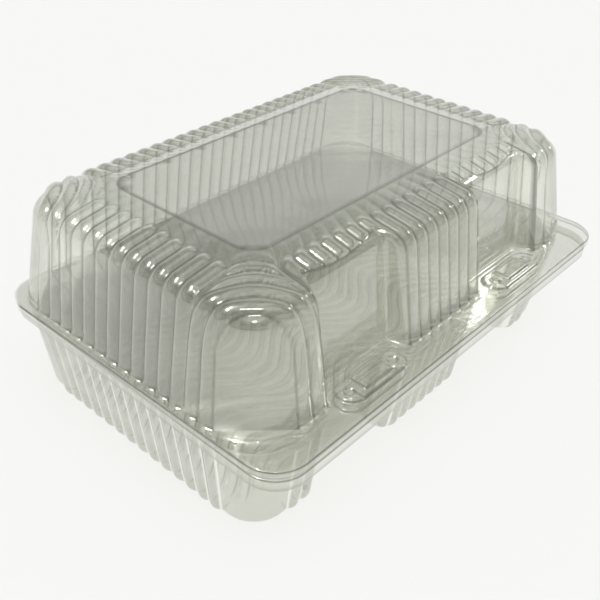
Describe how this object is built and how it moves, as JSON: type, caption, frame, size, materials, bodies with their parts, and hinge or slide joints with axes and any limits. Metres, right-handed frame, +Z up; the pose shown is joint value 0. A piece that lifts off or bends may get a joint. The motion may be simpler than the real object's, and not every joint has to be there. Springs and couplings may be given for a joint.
{
  "type": "hinged clamshell food pack",
  "caption": "Clear ribbed plastic clamshell food pack: rectangular base tray and domed lid on a living hinge, with press locks on the front flange.",
  "frame": {"origin": "on the surface that the pack stands on, under the middle of the flange", "axes": "+Z up, X along the hinge and the long side, -Y towards the front edge with the locks"},
  "size_m": [0.24, 0.1689, 0.1023],
  "materials": {
    "clear_film": "clear glossy thermoformed plastic film"
  },
  "bodies": {
    "tray": {"base_tray": "clear_film"},
    "cover": {"lid": "clear_film"}
  },
  "joints": [
    {"name": "lid_hinge", "type": "hinge", "parent": "tray", "child": "cover", "pos_m": [0, 0.0845, 0.04715], "axis": [-1, 0, 0], "range_deg": [-1.57, 166]}
  ]
}
